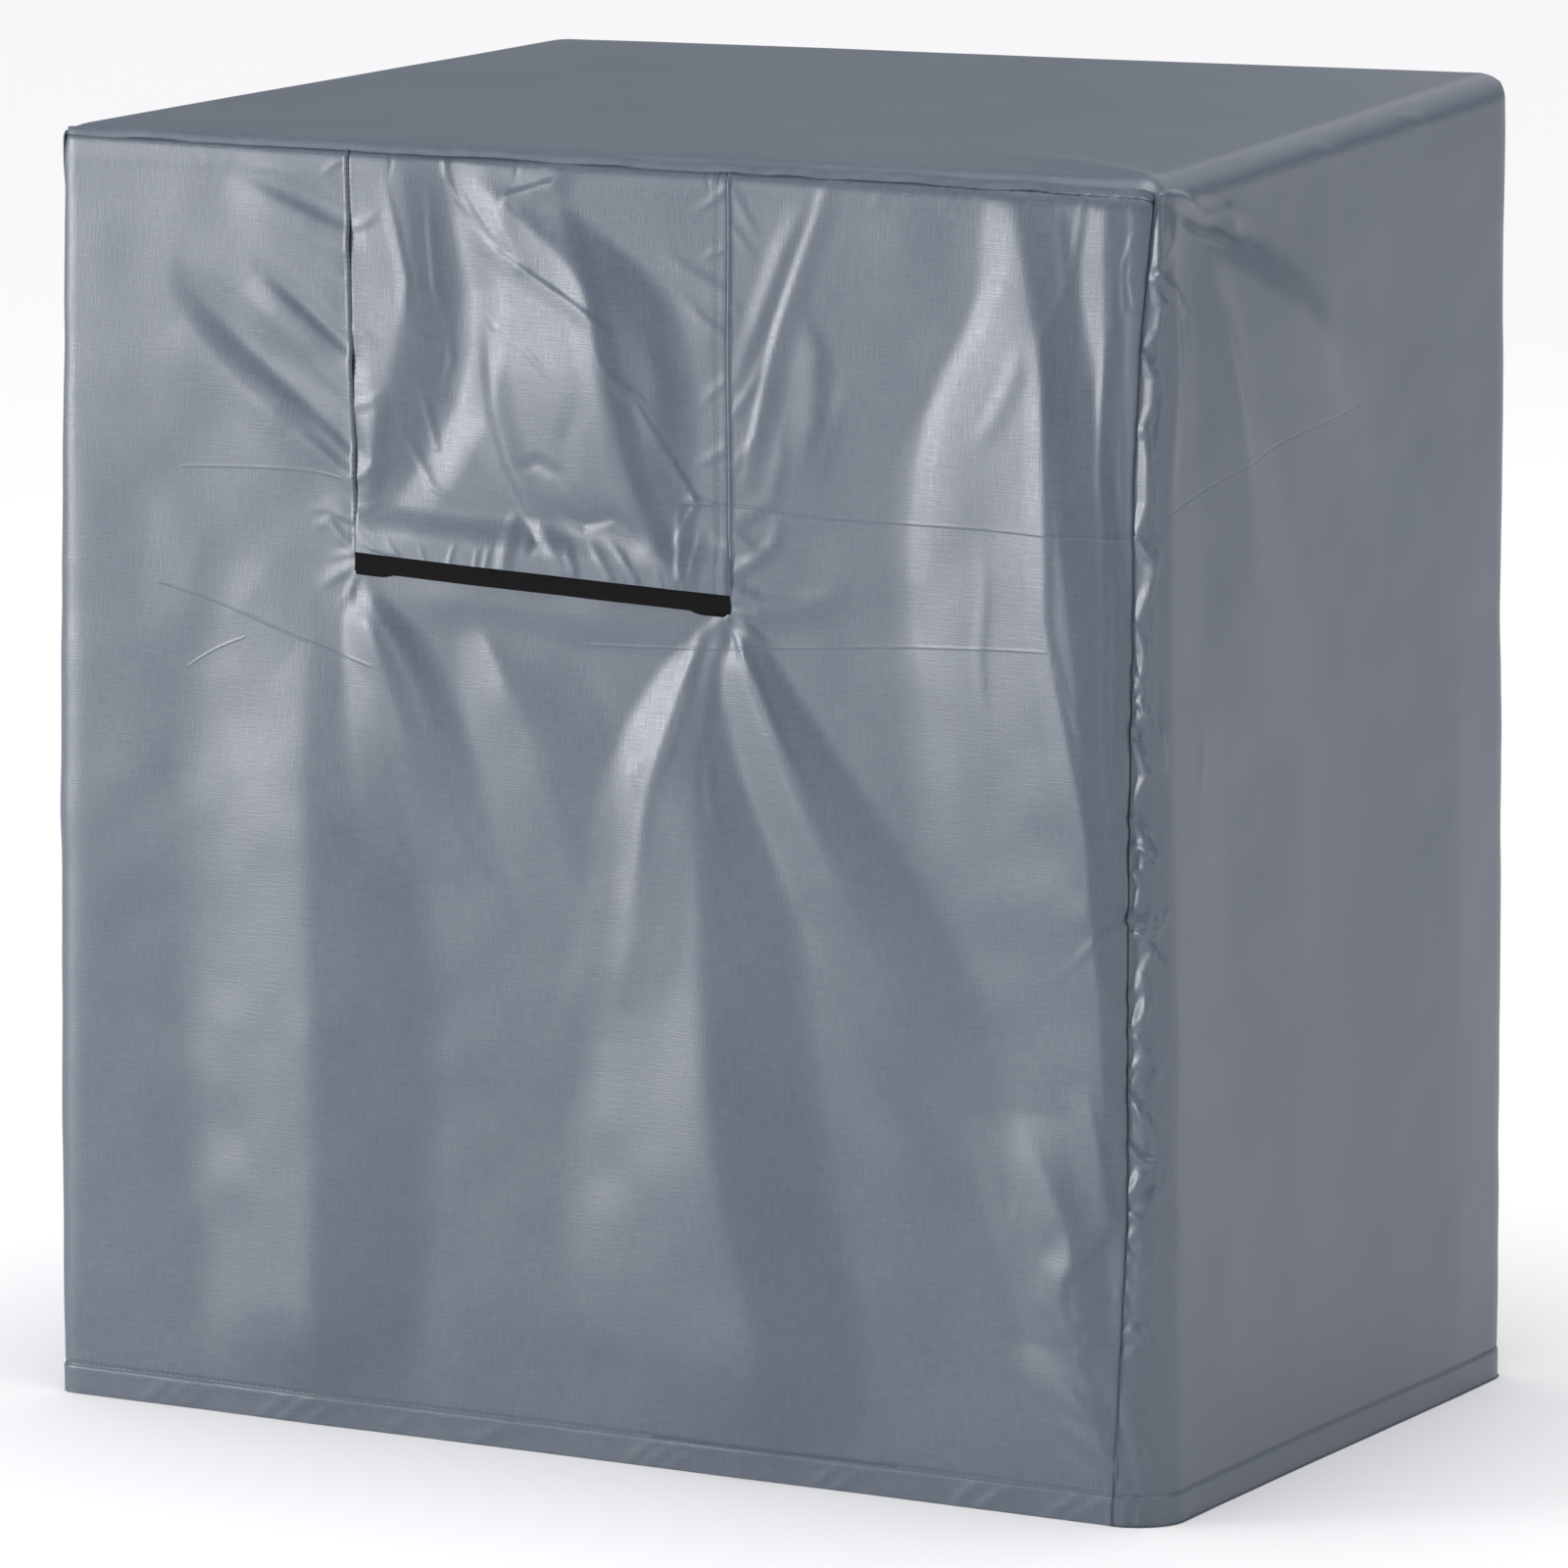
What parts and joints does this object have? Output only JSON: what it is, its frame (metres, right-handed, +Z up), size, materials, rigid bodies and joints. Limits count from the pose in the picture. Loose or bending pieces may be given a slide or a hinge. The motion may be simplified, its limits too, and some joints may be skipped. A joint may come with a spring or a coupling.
{
  "type": "fitted cloth cover for an air conditioner unit",
  "caption": "Hollow box-shaped cloth cover, open below, with a flap held by a hook-and-loop strip in its front and creased, loosely hung panels.",
  "frame": {"origin": "the middle of the underside of the top, where the covered unit carries the cloth", "axes": "+Z up, the front panel with the flap faces -Y, +X is to the right as one faces the front"},
  "size_m": [0.874, 0.6056, 0.9353],
  "materials": {
    "cover_cloth": "satin coated plain-weave polyester, grey-blue",
    "strip": "matte black hook-and-loop strip"
  },
  "bodies": {
    "root": {"gusset": "cover_cloth", "front_panel": "cover_cloth", "vent_flap": "cover_cloth", "back_panel": "cover_cloth", "flap_tape": "strip", "panel_tape": "strip"}
  },
  "joints": []
}
